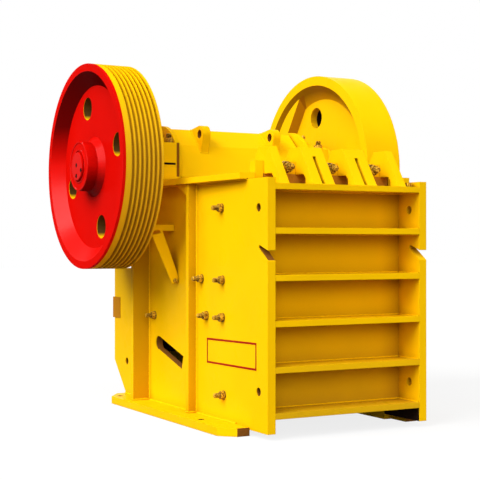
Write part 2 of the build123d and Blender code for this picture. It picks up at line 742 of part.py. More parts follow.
with BuildPart() as tension_springs:
    with BuildSketch(Plane.XZ.offset(-washer_y + spring_len)):
        with Locations((-rod_x, rod_z), (rod_x, rod_z)):
            Circle(spring_r[0])
            Circle(spring_r[1], mode=Mode.SUBTRACT)
    extrude(amount=-spring_len)
save(tension_springs, "tension_springs")

# Bracket on the left wall that carries the belt guard
with BuildPart() as belt_guard_bracket:
    with BuildSketch(Plane.XZ.offset(-arm_y[0])):
        with Locations((-outer_x - arm_out / 2, sum(arm_z) / 2)):
            Rectangle(arm_out, arm_z[1] - arm_z[0])
    extrude(amount=-(arm_y[1] - arm_y[0]))
    with BuildSketch(Plane.XZ.offset(-brace_y[0])):
        with BuildLine():
            Polyline(
                (-outer_x, brace_foot_z), (-outer_x, brace_foot_z + 2.6 * brace_t),
                (-outer_x - brace_out + brace_t, arm_z[0] + BITE), (-outer_x - brace_out, arm_z[0] + BITE),
                close=True)
        make_face()
    extrude(amount=-(brace_y[1] - brace_y[0]))
save(belt_guard_bracket, "belt_guard_bracket")
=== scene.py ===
import math

import bmesh
import bpy
from mathutils import Matrix, Vector


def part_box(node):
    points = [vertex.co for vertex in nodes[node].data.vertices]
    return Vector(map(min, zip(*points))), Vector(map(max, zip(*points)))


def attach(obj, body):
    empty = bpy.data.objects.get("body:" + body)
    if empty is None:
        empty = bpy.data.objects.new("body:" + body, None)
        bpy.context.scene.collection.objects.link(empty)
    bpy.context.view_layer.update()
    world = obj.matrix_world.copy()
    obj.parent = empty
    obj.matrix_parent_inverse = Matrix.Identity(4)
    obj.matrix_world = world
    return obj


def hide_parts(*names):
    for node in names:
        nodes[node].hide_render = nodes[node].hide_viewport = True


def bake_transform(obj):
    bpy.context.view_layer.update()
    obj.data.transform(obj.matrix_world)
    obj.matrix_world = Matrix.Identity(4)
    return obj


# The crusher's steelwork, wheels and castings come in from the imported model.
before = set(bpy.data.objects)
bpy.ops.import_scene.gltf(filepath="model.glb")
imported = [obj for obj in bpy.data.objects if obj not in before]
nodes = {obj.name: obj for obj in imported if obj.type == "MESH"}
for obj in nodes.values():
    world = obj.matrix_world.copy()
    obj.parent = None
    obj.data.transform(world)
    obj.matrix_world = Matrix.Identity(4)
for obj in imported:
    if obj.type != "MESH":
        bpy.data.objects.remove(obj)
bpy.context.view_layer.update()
scene = bpy.context.scene

# The camera stands off the sheave side's front corner, at about chest height, and looks level
# across the ribbed front wall and along the side wall.
photo_lens = 87.49
photo_stand = (-5.07425, -9.13579, 1.45692)
photo_sight = (0.48061, 0.87693, 0.00407)

camera = bpy.data.objects.new("camera", bpy.data.cameras.new("camera"))
scene.collection.objects.link(camera)
camera.data.lens = photo_lens
camera.data.sensor_width = 36
camera.data.clip_end = 200
camera.location = photo_stand
camera.rotation_euler = Vector(photo_sight).to_track_quat("-Z", "Y").to_euler()
scene.camera = camera
scene.view_settings.view_transform = "Standard"

# Studio: soft light from the upper left, and weaker ones from in front, above, lower down and behind.
# A small spark gives the glossy paint its highlights. The room is white to the eye and in reflections,
# and dimmer as a source of light.
room_light = 0.24
lamps = [    # name, strength, spread in degrees, way the light travels
    ("key_light", 3.4, 44, (0.78, 0.18, -0.60)),
    ("front_light", 1.3, 60, (0.10, 0.78, -0.62)),
    ("low_light", 0.75, 40, (0.42, 0.87, -0.26)),
    ("ceiling_lamp", 0.30, 9, (0.02, -0.575, -0.815)),
    ("back_light", 1.2, 24, (-0.72, -0.69, 0.0)),
    ("spark", 0.40, 7, (0.70, -0.15, -0.70)),
]


def add_node(tree, kind, **settings):
    made = tree.nodes.new(kind)
    for name, value in settings.items():
        setattr(made, name, value)
    return made


room = bpy.data.worlds.new("studio_room")
scene.world = room
room.use_nodes = True
tree = room.node_tree
tree.nodes.clear()
path = add_node(tree, "ShaderNodeLightPath")
seen = add_node(tree, "ShaderNodeMath", operation="MAXIMUM")
seen_too = add_node(tree, "ShaderNodeMath", operation="MAXIMUM")
tree.links.new(path.outputs["Is Camera Ray"], seen.inputs[0])
tree.links.new(path.outputs["Is Glossy Ray"], seen.inputs[1])
tree.links.new(seen.outputs[0], seen_too.inputs[0])
tree.links.new(path.outputs["Is Transmission Ray"], seen_too.inputs[1])
dim = add_node(tree, "ShaderNodeBackground")
dim.inputs["Color"].default_value = (1, 1, 1, 1)
dim.inputs["Strength"].default_value = room_light
plain = add_node(tree, "ShaderNodeBackground")
plain.inputs["Color"].default_value = (1, 1, 1, 1)
plain.inputs["Strength"].default_value = 1.0
choose = add_node(tree, "ShaderNodeMixShader")
out = add_node(tree, "ShaderNodeOutputWorld")
tree.links.new(seen_too.outputs[0], choose.inputs["Fac"])
tree.links.new(dim.outputs[0], choose.inputs[1])
tree.links.new(plain.outputs[0], choose.inputs[2])
tree.links.new(choose.outputs[0], out.inputs["Surface"])

for name, strength, spread, travel in lamps:
    lamp = bpy.data.objects.new(name, bpy.data.lights.new(name, "SUN"))
    scene.collection.objects.link(lamp)
    lamp.data.energy = strength
    lamp.data.angle = math.radians(spread)
    lamp.rotation_euler = Vector(travel).to_track_quat("-Z", "Y").to_euler()

# Floor: a pale sheet that runs out of sight behind the machine. It keeps the machine's
# soft shadow, and is otherwise as white as the room.
floor_half = 60.0
floor_mesh = bpy.data.meshes.new("floor")
floor_mesh.from_pydata(
    [(-floor_half, -floor_half, 0), (floor_half, -floor_half, 0), (floor_half, floor_half, 0),
     (-floor_half, floor_half, 0)], [], [(0, 1, 2, 3)])
floor = bpy.data.objects.new("floor", floor_mesh)
scene.collection.objects.link(floor)
floor.location.z = -0.002
floor_finish = bpy.data.materials.new("pale_floor")
floor_finish.use_nodes = True
tree = floor_finish.node_tree
tree.nodes.clear()
path = add_node(tree, "ShaderNodeLightPath")
seen = add_node(tree, "ShaderNodeMath", operation="MAXIMUM")
part_white = add_node(tree, "ShaderNodeMath", operation="MULTIPLY")
part_white.inputs[1].default_value = 0.82
mat = add_node(tree, "ShaderNodeBsdfDiffuse")
mat.inputs["Color"].default_value = (0.86, 0.86, 0.85, 1)
unlit = add_node(tree, "ShaderNodeBsdfDiffuse")
unlit.inputs["Color"].default_value = (0.12, 0.11, 0.10, 1)
by_eye = add_node(tree, "ShaderNodeMixShader")
white = add_node(tree, "ShaderNodeEmission")
white.inputs["Color"].default_value = (1, 1, 1, 1)
white.inputs["Strength"].default_value = 1.0
choose = add_node(tree, "ShaderNodeMixShader")
out = add_node(tree, "ShaderNodeOutputMaterial")
tree.links.new(path.outputs["Is Camera Ray"], seen.inputs[0])
tree.links.new(path.outputs["Is Glossy Ray"], seen.inputs[1])
tree.links.new(seen.outputs[0], part_white.inputs[0])
tree.links.new(part_white.outputs[0], choose.inputs["Fac"])
tree.links.new(path.outputs["Is Camera Ray"], by_eye.inputs["Fac"])
tree.links.new(unlit.outputs[0], by_eye.inputs[1])
tree.links.new(mat.outputs[0], by_eye.inputs[2])
tree.links.new(by_eye.outputs[0], choose.inputs[1])
tree.links.new(white.outputs[0], choose.inputs[2])
tree.links.new(choose.outputs[0], out.inputs["Surface"])
floor.data.materials.append(floor_finish)

# Welded steel frame: side walls, ribs, gussets, base plates and rear wall of thick plate, torch cut
# and welded, then sprayed with glossy yellow enamel. Brown painted shade darkens the corners, the paint
# thins on the edges, and the inside of the frame is painted near black as painted shade.
enamel_yellow = (0.93, 0.530, 0.0016)
enamel_corner_shade = (0.36, 0.155, 0.001)
inside_shade_brown = (0.020, 0.010, 0.006)
inside_shade_box = ((-0.6685, -1.3065, 0.0), (0.6685, 0.7685, 1.955))
foot_shade_box = ((-0.6685, -1.640, 0.0), (0.6685, -1.30, 0.152))


def new_group(name, inputs, outputs):
    """A shader node group with named sockets, and its two end nodes."""
    group = bpy.data.node_groups.new(name, "ShaderNodeTree")
    for label, kind, value in inputs:
        socket = group.interface.new_socket(label, in_out="INPUT", socket_type=kind)
        socket.default_value = value
    for label, kind in outputs:
        group.interface.new_socket(label, in_out="OUTPUT", socket_type=kind)
    return group, add_node(group, "NodeGroupInput"), add_node(group, "NodeGroupOutput")


def maths(tree, operation, a, b=None):
    """A Math node; a and b are sockets or numbers."""
    made = add_node(tree, "ShaderNodeMath", operation=operation)
    for socket, value in zip(made.inputs, (a, b)):
        if isinstance(value, bpy.types.NodeSocket):
            tree.links.new(value, socket)
        elif value is not None:
            socket.default_value = value
    return made.outputs[0]


def mix_colour(tree, factor, a, b, blend="MIX"):
    """A colour Mix node; each value is a socket or a plain value."""
    made = add_node(tree, "ShaderNodeMix", data_type="RGBA", blend_type=blend)
    for socket, value in ((made.inputs[0], factor), (made.inputs[6], a), (made.inputs[7], b)):
        if isinstance(value, bpy.types.NodeSocket):
            tree.links.new(value, socket)
        else:
            socket.default_value = value if isinstance(value, float) else (*value, 1)
    return made.outputs[2]


def ramp(tree, value, low, high, to_low=0.0, to_high=1.0):
    """A Map Range node from low..high to to_low..to_high."""
    made = add_node(tree, "ShaderNodeMapRange")
    tree.links.new(value, made.inputs["Value"])
    for label, number in (("From Min", low), ("From Max", high), ("To Min", to_low), ("To Max", to_high)):
        made.inputs[label].default_value = number
    return made.outputs["Result"]


def cloud(tree, scale, detail=3.0, rough=0.5):
    """Noise over the machine's own coordinates, in metres."""
    place = add_node(tree, "ShaderNodeTexCoord")
    made = add_node(tree, "ShaderNodeTexNoise")
    made.inputs["Scale"].default_value = scale
    made.inputs["Detail"].default_value = detail
    made.inputs["Roughness"].default_value = rough
    tree.links.new(place.outputs["Object"], made.inputs["Vector"])
    return made.outputs["Fac"]


sprayed, given, result = new_group(
    "sprayed_enamel",
    [("Paint", "NodeSocketColor", (1, 1, 1, 1)), ("Corner", "NodeSocketColor", (0, 0, 0, 1)),
     ("Corner reach", "NodeSocketFloat", 0.05), ("Corner start", "NodeSocketFloat", 0.62),
     ("Wear", "NodeSocketFloat", 0.5)],
    [("Color", "NodeSocketColor"), ("Roughness", "NodeSocketFloat"), ("Normal", "NodeSocketVector"),
     ("Chips", "NodeSocketFloat")])
round_edge = add_node(sprayed, "ShaderNodeBevel", samples=4)
round_edge.inputs["Radius"].default_value = 0.006
flat_side = add_node(sprayed, "ShaderNodeNewGeometry")
facing = add_node(sprayed, "ShaderNodeVectorMath", operation="DOT_PRODUCT")
sprayed.links.new(round_edge.outputs["Normal"], facing.inputs[0])
sprayed.links.new(flat_side.outputs["Normal"], facing.inputs[1])
on_edge = ramp(sprayed, facing.outputs["Value"], 0.985, 0.80)
patchy = cloud(sprayed, 23.0, 5.0, 0.65)
chips = maths(sprayed, "MULTIPLY", maths(sprayed, "MULTIPLY", on_edge, ramp(sprayed, patchy, 0.55, 0.66)),
              given.outputs["Wear"])
# Ambient occlusion mixes the Corner colour into corners and creases: painted shade.
crease = add_node(sprayed, "ShaderNodeAmbientOcclusion", samples=6, only_local=False)
sprayed.links.new(given.outputs["Corner reach"], crease.inputs["Distance"])
corner_shade_share = ramp(sprayed, crease.outputs["AO"], 0.62, 0.12)
sprayed.links.new(given.outputs["Corner start"], corner_shade_share.node.inputs["From Min"])
tone = ramp(sprayed, cloud(sprayed, 1.7, 2.0), 0.3, 0.7, 0.94, 1.03)
toned = add_node(sprayed, "ShaderNodeVectorMath", operation="SCALE")
sprayed.links.new(given.outputs["Paint"], toned.inputs[0])
sprayed.links.new(tone, toned.inputs["Scale"])
shaded = mix_colour(sprayed, corner_shade_share, toned.outputs[0], given.outputs["Corner"])
worn = mix_colour(sprayed, chips, shaded, (0.16, 0.075, 0.03))
sprayed.links.new(worn, result.inputs["Color"])
gloss = maths(sprayed, "ADD", ramp(sprayed, cloud(sprayed, 5.0, 4.0), 0.3, 0.7, 0.24, 0.36),
              maths(sprayed, "MULTIPLY", chips, 0.35))
sprayed.links.new(gloss, result.inputs["Roughness"])
peel = add_node(sprayed, "ShaderNodeBump")
peel.inputs["Strength"].default_value = 0.05
peel.inputs["Distance"].default_value = 0.004
waves = maths(sprayed, "MULTIPLY", cloud(sprayed, 7.0, 2.0), 2.0)
sprayed.links.new(maths(sprayed, "ADD", cloud(sprayed, 90.0, 2.0), waves), peel.inputs["Height"])
sprayed.links.new(round_edge.outputs["Normal"], peel.inputs["Normal"])
sprayed.links.new(peel.outputs["Normal"], result.inputs["Normal"])
sprayed.links.new(chips, result.inputs["Chips"])

boxed, given, result = new_group(
    "inside_a_box", [("Low", "NodeSocketVector", (0, 0, 0)), ("High", "NodeSocketVector", (1, 1, 1))],
    [("Inside", "NodeSocketFloat")])
place = add_node(boxed, "ShaderNodeTexCoord")
inside = None
for end, order in (("Low", (0, 1)), ("High", (1, 0))):
    apart = add_node(boxed, "ShaderNodeVectorMath", operation="SUBTRACT")
    boxed.links.new(place.outputs["Object"], apart.inputs[order[0]])
    boxed.links.new(given.outputs[end], apart.inputs[order[1]])
    parts = add_node(boxed, "ShaderNodeSeparateXYZ")
    boxed.links.new(apart.outputs[0], parts.inputs[0])
    for side in parts.outputs:
        past = maths(boxed, "GREATER_THAN", side, 0.0)
        inside = past if inside is None else maths(boxed, "MULTIPLY", inside, past)
boxed.links.new(inside, result.inputs["Inside"])


def finish(name, paint, corner, wear=0.5, reach=0.05, start=0.62, specular=0.01):
    """A glossy sprayed finish. Returns the material, its tree, the shader and the spray group."""
    material = bpy.data.materials.new(name)
    material.use_nodes = True
    tree = material.node_tree
    shader = tree.nodes["Principled BSDF"]
    spray = add_node(tree, "ShaderNodeGroup", node_tree=sprayed)
    spray.inputs["Paint"].default_value = (*paint, 1)
    spray.inputs["Corner"].default_value = (*corner, 1)
    spray.inputs["Corner reach"].default_value = reach
    spray.inputs["Corner start"].default_value = start
    spray.inputs["Wear"].default_value = wear
    shader.inputs["Specular IOR Level"].default_value = specular
    for label, socket in (("Color", "Base Color"), ("Roughness", "Roughness"), ("Normal", "Normal")):
        tree.links.new(spray.outputs[label], shader.inputs[socket])
    return material, tree, shader, spray


def in_box(tree, corners):
    """Mask of the surface between two corners, given in metres."""
    made = add_node(tree, "ShaderNodeGroup", node_tree=boxed)
    made.inputs["Low"].default_value, made.inputs["High"].default_value = corners
    return made.outputs["Inside"]


def leave_bare(tree, shader, spray, mask, colour):
    """The masked part has the colour given and is dull; the rest is sprayed."""
    tree.links.new(mix_colour(tree, mask, spray.outputs["Color"], colour), shader.inputs["Base Color"])
    tree.links.new(maths(tree, "MAXIMUM", spray.outputs["Roughness"], maths(tree, "MULTIPLY", mask, 0.75)),
                   shader.inputs["Roughness"])


def shade_inside(tree, shader, spray):
    """Paint the inside of the frame near black, as painted shade."""
    inside = maths(tree, "MAXIMUM", in_box(tree, inside_shade_box), in_box(tree, foot_shade_box))
    leave_bare(tree, shader, spray, inside, inside_shade_brown)


def dress(material, *names):
    """Give carried-over solids their finish."""
    for name in names:
        nodes[name].data.materials.clear()
        nodes[name].data.materials.append(material)


frame_paint, tree, shader, spray = finish("yellow_enamel", enamel_yellow, enamel_corner_shade)
shade_inside(tree, shader, spray)
dress(frame_paint, "end_gussets", "twin_gussets", "jaw_clamp", "bearing_shelf_left", "bearing_shelf_right",
      "shelf_gussets", "rear_wall", "toggle_block", "belt_guard_bracket")

# Upright ribs on the side walls: flat bar on edge, welded to the wall. Their front and back sides, in
# the corner with the wall, are painted browner as painted shade.
rib_side_shade = (0.47, 0.245, 0.002)


def paint_over(tree, shader, mask, colour):
    """Lay a colour over the shader's own, where the mask says."""
    below = shader.inputs["Base Color"].links[0].from_socket
    tree.links.new(mix_colour(tree, mask, below, colour), shader.inputs["Base Color"])


for place, shade_share in (("front", 0.40), ("rear", 0.75)):
    rib_paint, tree, shader, spray = finish(
        f"side_rib_{place}_enamel", enamel_yellow, enamel_corner_shade, reach=0.22, start=0.95)
    wall_side = add_node(tree, "ShaderNodeNewGeometry")
    parts = add_node(tree, "ShaderNodeSeparateXYZ")
    tree.links.new(wall_side.outputs["True Normal"], parts.inputs[0])
    on_side = maths(tree, "GREATER_THAN", maths(tree, "ABSOLUTE", parts.outputs[1]), 0.7)
    paint_over(tree, shader, maths(tree, "MULTIPLY", on_side, shade_share), rib_side_shade)
    dress(rib_paint, f"side_rib_{place}_left", f"side_rib_{place}_right")

# Front wall and ribs: the same plate and enamel. Brown painted shade darkens the deep bays, and the
# lowest ribs are painted darker towards the floor.
bay_shade_brown = (0.33, 0.130, 0.001)
near_floor_brown = (0.40, 0.20, 0.012)
bay_paint, tree, shader, spray = finish("front_wall_enamel", enamel_yellow, bay_shade_brown, reach=0.20, start=0.90)
shade_inside(tree, shader, spray)
place = add_node(tree, "ShaderNodeTexCoord")
parts = add_node(tree, "ShaderNodeSeparateXYZ")
tree.links.new(place.outputs["Object"], parts.inputs[0])
toward_floor = ramp(tree, maths(tree, "ADD", parts.outputs[2], maths(tree, "MULTIPLY", cloud(tree, 4.0, 4.0), 0.3)),
             1.0, 0.3, 0.0, 0.42)
paint_over(tree, shader, toward_floor, near_floor_brown)
dress(bay_paint, "front_wall", *[f"front_rib_{n}" for n in range(1, 7)])

# Rear beam: a square steel bar across the back, let into the side walls and welded there. It is
# sprayed with the frame, and its sawn ends are left to rust.
sawn_rust = (0.50, 0.20, 0.012)
sawn_x = 0.73
beam_paint, tree, shader, spray = finish("rear_beam_enamel", enamel_yellow, enamel_corner_shade)
sawn_ends = maths(tree, "SUBTRACT", 1.0, in_box(tree, ((-sawn_x, 0, 0), (sawn_x, 2, 2))))
leave_bare(tree, shader, spray, sawn_ends, sawn_rust)
dress(beam_paint, "rear_beam")

# Side walls: 68 mm plate in the same enamel. The cut faces of the slot, the notches and the lifting
# eyes lie deep in the plate, and are painted dark brown as painted shade.
cut_face_shade = (0.20, 0.075, 0.012)
wall_paint, tree, shader, spray = finish(
    "side_wall_enamel", enamel_yellow, enamel_corner_shade, reach=0.12, start=0.72)
shade_inside(tree, shader, spray)
cut_shade_mask = None
for side in (-1, 1):
    x_range = sorted((side * 0.6675, side * 0.727))
    front_y = -1.640 if side < 0 else -1.20
    for y_range, z_range in (((front_y, 0.845), (0.09, 1.955)), ((0.94, 1.04), (0.31, 0.42))):
        deep = in_box(tree, ((x_range[0], y_range[0], z_range[0]), (x_range[1], y_range[1], z_range[1])))
        cut_shade_mask = deep if cut_shade_mask is None else maths(tree, "MAXIMUM", cut_shade_mask, deep)
paint_over(tree, shader, cut_shade_mask, cut_face_shade)
dress(wall_paint, "side_wall_left", "side_wall_right")

# Base plates: the frame's feet, of 65 mm plate in the same enamel, with two drilled anchor holes each,
# whose bores are painted near black as painted shade. Their square front ends are flame cut and painted
# dark brown as painted shade.
cut_end_y = -1.3695
bore_x, bore_y, bore_reach, bore_top = 0.873, 0.825, 0.030, 0.0645
anchor_bore_shade = (0.030, 0.014, 0.006)
base_paint, tree, shader, spray = finish("base_plate_enamel", enamel_yellow, enamel_corner_shade)
cut_end = in_box(tree, ((-2, -2, -1), (2, cut_end_y, 1)))
leave_bare(tree, shader, spray, cut_end, cut_face_shade)
for x in (-bore_x, bore_x):
    for y in (-bore_y, bore_y):
        low, high = (x - bore_reach, y - bore_reach, -1), (x + bore_reach, y + bore_reach, bore_top)
        paint_over(tree, shader, in_box(tree, (low, high)), anchor_bore_shade)
dress(base_paint, "base_plate_left", "base_plate_right")

# Weld beads along the frame's joints: a rippled fillet of a few millimetres, under the paint.
# Each bead is a low tube, half sunk into the corner that it closes.
bead_r = 0.009
bead_step = 0.012


def keep(name, bm, body, material, smooth_below=40):
    """Make a finished piece of a bmesh, with its place in its mesh, and let it ride on a body."""
    bmesh.ops.recalc_face_normals(bm, faces=bm.faces)
    mesh = bpy.data.meshes.new(name)
    bm.to_mesh(mesh)
    bm.free()
    piece = bpy.data.objects.new(name, mesh)
    scene.collection.objects.link(piece)
    mesh.materials.append(material)
    mesh.shade_smooth()
    mesh.set_sharp_from_angle(angle=math.radians(smooth_below))
    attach(piece, body)
    return piece


def skin(bm, rings):
    """Join rings of points into a tube with closed ends."""
    count = len(rings[0])
    for one, two in zip(rings, rings[1:]):
        for side in range(count):
            bm.faces.new((one[side], one[(side + 1) % count], two[(side + 1) % count], two[side]))
    bm.faces.new(rings[0])
    bm.faces.new(rings[-1])


def bead(bm, start, end, radius=bead_r):
    """A weld bead from start to end, with the ripples of a hand weld."""
    start, end = Vector(start), Vector(end)
    along = end - start
    count = max(2, int(along.length / bead_step))
    turn = along.to_track_quat("Z", "Y").to_matrix()
    rings = []
    for step in range(count + 1):
        size = radius * (0.92 + 0.14 * (step % 2) + 0.10 * math.sin(step * 1.7 + start.x * 40))
        middle = start + along * (step / count)
        rings.append([bm.verts.new(middle + turn @ Vector((size * math.cos(a), size * math.sin(a), 0)))
                      for a in (math.tau * side / 7 for side in range(7))])
    skin(bm, rings)


inner_x, outer_x = 0.667, 0.735
bm = bmesh.new()
plate_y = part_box("front_wall")[0].y
for n in range(1, 7):
    low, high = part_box(f"front_rib_{n}")
    for z in ((low.z, high.z) if n < 6 else (low.z,)):
        if n > 1 or z > low.z:
            bead(bm, (-inner_x, plate_y, z), (inner_x, plate_y, z))
        for side in (-1, 1):
            bead(bm, (side * inner_x, low.y + 0.01, z), (side * inner_x, plate_y, z))
keep("front_rib_welds", bm, "frame", frame_paint)

bm = bmesh.new()
for hand, side in (("left", -1), ("right", 1)):
    for place in ("front", "rear"):
        low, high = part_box(f"side_rib_{place}_{hand}")
        for y in (low.y, high.y):
            bead(bm, (side * outer_x, y, low.z), (side * outer_x, y, high.z))
        rib_out = high.x if side > 0 else low.x
        foot = low.z - 0.006
        for y in (low.y + 0.006, high.y - 0.006):
            bead(bm, (side * outer_x, y, foot), (rib_out, y, foot), 0.010)
        end_x = rib_out - side * 0.006
        bead(bm, (end_x, low.y, foot), (end_x, high.y, foot), 0.010)
    low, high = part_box(f"base_plate_{hand}")
    bead(bm, (side * outer_x, low.y + 0.21, high.z), (side * outer_x, high.y, high.z), 0.011)
    low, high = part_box(f"bearing_shelf_{hand}")
    bead(bm, (side * outer_x, low.y, low.z), (side * outer_x, high.y, low.z))
keep("side_wall_welds", bm, "frame", frame_paint)

bm = bmesh.new()
low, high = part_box("end_gussets")
foot = (low.y, low.y + 0.116)
for middle, half in ((-0.545, 0.0375), (0.545, 0.0375), (-0.197, 0.1), (0.197, 0.1)):
    for side in (-1, 1):
        bead(bm, (middle + side * half, foot[0], low.z), (middle + side * half, foot[1], low.z), 0.007)
    bead(bm, (middle - half, foot[0], low.z), (middle + half, foot[0], low.z), 0.007)
keep("gusset_welds", bm, "frame", frame_paint)

# Wedge and toggle plate: rough sand castings. The wedge, in dark rust brown, is pressed down behind
# the fixed jaw plate by the clamp bar, and the black toggle plate sits loose in its two sockets.
cast_brown = (0.46, 0.18, 0.008)


def casting(name, colour, roughness, metal, pit_scale, pit_depth, shine=0.1):
    """A cast skin: mottled colour, and shallow sand pits."""
    material = bpy.data.materials.new(name)
    material.use_nodes = True
    tree = material.node_tree
    shader = tree.nodes["Principled BSDF"]
    shader.inputs["Metallic"].default_value = metal
    shader.inputs["Specular IOR Level"].default_value = shine
    mottle = cloud(tree, 14.0, 6.0, 0.7)
    lighter = tuple(min(1.0, 1.5 * c + 0.004) for c in colour)
    mottled = mix_colour(tree, ramp(tree, mottle, 0.35, 0.7), colour, lighter)
    tree.links.new(mottled, shader.inputs["Base Color"])
    tree.links.new(ramp(tree, mottle, 0.3, 0.7, roughness - 0.1, roughness + 0.12),
                   shader.inputs["Roughness"])
    pits = add_node(tree, "ShaderNodeBump")
    pits.inputs["Strength"].default_value = 0.5
    pits.inputs["Distance"].default_value = pit_depth
    tree.links.new(cloud(tree, pit_scale, 8.0, 0.75), pits.inputs["Height"])
    edge = add_node(tree, "ShaderNodeBevel", samples=4)
    edge.inputs["Radius"].default_value = 0.008
    tree.links.new(edge.outputs["Normal"], pits.inputs["Normal"])
    tree.links.new(pits.outputs["Normal"], shader.inputs["Normal"])
    return material


wedge_skin = casting("rust_brown_casting", cast_brown, 0.7, 0.0, 60.0, 0.004)
dress(wedge_skin, "jaw_wedge")
toggle_skin = casting("dark_casting", (0.022, 0.018, 0.015), 0.6, 0.2, 50.0, 0.004)
dress(toggle_skin, "toggle_plate")

# Jaw plates: manganese steel castings with upright teeth, the ridges of one facing the valleys
# of the other. They show through the feed mouth; the cheek plates beside them are plain.
tooth_depth = 0.042
tooth_rows = 12
manganese = casting("manganese_casting", (0.085, 0.070, 0.058), 0.55, 0.55, 38.0, 0.006)
dress(manganese, "cheek_plate_left", "cheek_plate_right")


def toothed_plate(name, node, low_face, top_face, thickness, half_w, offset, body):
    """A jaw plate from its lower to its upper edge; the faces are (y, z) points of the tooth tops."""
    (y0, z0), (y1, z1) = low_face, top_face
    length = math.hypot(y1 - y0, z1 - z0)
    up = Vector((0, (y1 - y0) / length, (z1 - z0) / length))
    back = Vector((0, up.z, -up.y)) * (1 if thickness > 0 else -1)
    across = tooth_rows * 10
    bm = bmesh.new()
    rows = []
    for level in (0.0, 1.0):
        row = []
        for step in range(across + 1):
            x = -half_w + 2 * half_w * step / across
            wave = 0.5 - 0.5 * math.cos(math.tau * (tooth_rows * step / across + offset))
            sunk = tooth_depth * min(1.0, max(0.0, 1.35 * wave - 0.15))
            row.append(bm.verts.new(Vector((x, y0, z0)) + up * (length * level) + back * sunk))
        ends = [bm.verts.new(Vector((x, y0, z0)) + up * (length * level) + back * abs(thickness))
                for x in (half_w, -half_w)]
        rows.append(row + ends)
    for step in range(len(rows[0])):
        nxt = (step + 1) % len(rows[0])
        bm.faces.new((rows[0][step], rows[0][nxt], rows[1][nxt], rows[1][step]))
    for row in rows:
        bm.faces.new(row)
    piece = keep(name, bm, body, manganese)
    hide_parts(node)
    return piece


low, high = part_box("fixed_jaw_plate")
toothed_plate("fixed_jaw_teeth", "fixed_jaw_plate", (high.y, low.z), (high.y, high.z), -0.1, high.x, 0.0,
              "frame")
swing_low_face, swing_top_face = (-1.0717, 0.240), (-0.3067, 1.960)
toothed_plate("swing_jaw_teeth", "swing_jaw_plate", swing_low_face, swing_top_face, 0.1,
              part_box("swing_jaw_plate")[1].x, 0.5, "moving_jaw")

# Moving jaw: a steel casting with a round barrel around the shaft, in the frame's enamel,
# with two lifting lugs welded on top.
jaw_paint, tree, shader, spray = finish(
    "moving_jaw_enamel", enamel_yellow, enamel_corner_shade, wear=0.3, reach=0.08)
# The lugs' eyes are painted dark brown as painted shade.
eyes = maths(tree, "MAXIMUM", in_box(tree, ((-0.396, 0.108, 2.401), (-0.326, 0.192, 2.485))),
             in_box(tree, ((0.326, 0.108, 2.401), (0.396, 0.192, 2.485))))
leave_bare(tree, shader, spray, eyes, cut_face_shade)
dress(jaw_paint, "pitman", "lifting_lugs")
head_crease, head_top, lug_foot = (0.1504, 2.335), (0.3298, 2.4944), (0.1209, 2.2760)
bm = bmesh.new()
for x in (-0.398, -0.324, 0.324, 0.398):
    for one, two in ((lug_foot, head_crease), (head_crease, head_top)):
        bead(bm, (x, *one), (x, *two), 0.007)
for x in (-0.361, 0.361):
    bead(bm, (x - 0.037, *lug_foot), (x + 0.037, *lug_foot), 0.007)
keep("lug_welds", bm, "moving_jaw", jaw_paint)

# Shaft and bearing housings: a forged and turned shaft in split cast housings. Steel shims show dark
# in the split, and studs with nuts hold each cap down at its front and rear shoulders.
shaft_axis = Vector((0, 0.364, 2.133))
turned = bpy.data.materials.new("turned_steel")
turned.use_nodes = True
tree = turned.node_tree
shader = tree.nodes["Principled BSDF"]
shader.inputs["Metallic"].default_value = 1.0
place = add_node(tree, "ShaderNodeTexCoord")
rings = add_node(tree, "ShaderNodeTexWave", wave_type="BANDS", bands_direction="X")
rings.inputs["Scale"].default_value = 160.0
rings.inputs["Distortion"].default_value = 1.2
tree.links.new(place.outputs["Object"], rings.inputs["Vector"])
tree.links.new(mix_colour(tree, rings.outputs["Fac"], (0.50, 0.49, 0.47), (0.60, 0.59, 0.57)),
               shader.inputs["Base Color"])
tree.links.new(ramp(tree, cloud(tree, 9.0), 0.3, 0.7, 0.22, 0.38), shader.inputs["Roughness"])
cut = add_node(tree, "ShaderNodeBump")
cut.inputs["Strength"].default_value = 0.15
cut.inputs["Distance"].default_value = 0.0006
tree.links.new(rings.outputs["Fac"], cut.inputs["Height"])
tree.links.new(cut.outputs["Normal"], shader.inputs["Normal"])
dress(turned, "eccentric_shaft")

housing_gap_shade = (0.24, 0.085, 0.006)
housing_paint, tree, shader, spray = finish(
    "housing_enamel", enamel_yellow, enamel_corner_shade, reach=0.06, start=0.85)
# A strip of each housing beside the barrel is painted dark brown, as painted shade in the gap.
gap_shade_mask = maths(tree, "MAXIMUM", in_box(tree, ((-0.7165, -0.08, 2.045), (-0.680, 0.05, 2.345))),
               in_box(tree, ((0.680, -0.08, 2.045), (0.7165, 0.05, 2.345))))
leave_bare(tree, shader, spray, gap_shade_mask, housing_gap_shade)
dress(housing_paint, "bearing_base_left", "bearing_base_right", "bearing_cap_left", "bearing_cap_right",
      "bearing_covers")

shim_skin = casting("oiled_shims", (0.004, 0.002, 0.001), 0.7, 0.0, 40.0, 0.001, 0.02)


def slab(bm, low, high):
    """A box with its corners at low and high."""
    made = bmesh.ops.create_cube(bm, size=1.0)["verts"]
    low, high = Vector(low), Vector(high)
    for v in made:
        v.co = Vector([low[i] + (high[i] - low[i]) * (v.co[i] + 0.5) for i in range(3)])
    return made


shim_rise, shim_stack = 0.013, 0.018
bm = bmesh.new()
for side in (-1, 1):
    for way in (-1, 1):
        ends = sorted((shaft_axis.y + way * 0.16, shaft_axis.y + way * 0.411))
        xs = sorted((side * 0.726, side * 0.8412))
        foot = shaft_axis.z + shim_rise
        slab(bm, (xs[0], ends[0], foot), (xs[1], ends[1], foot + shim_stack))
keep("cap_shims", bm, "frame", shim_skin)

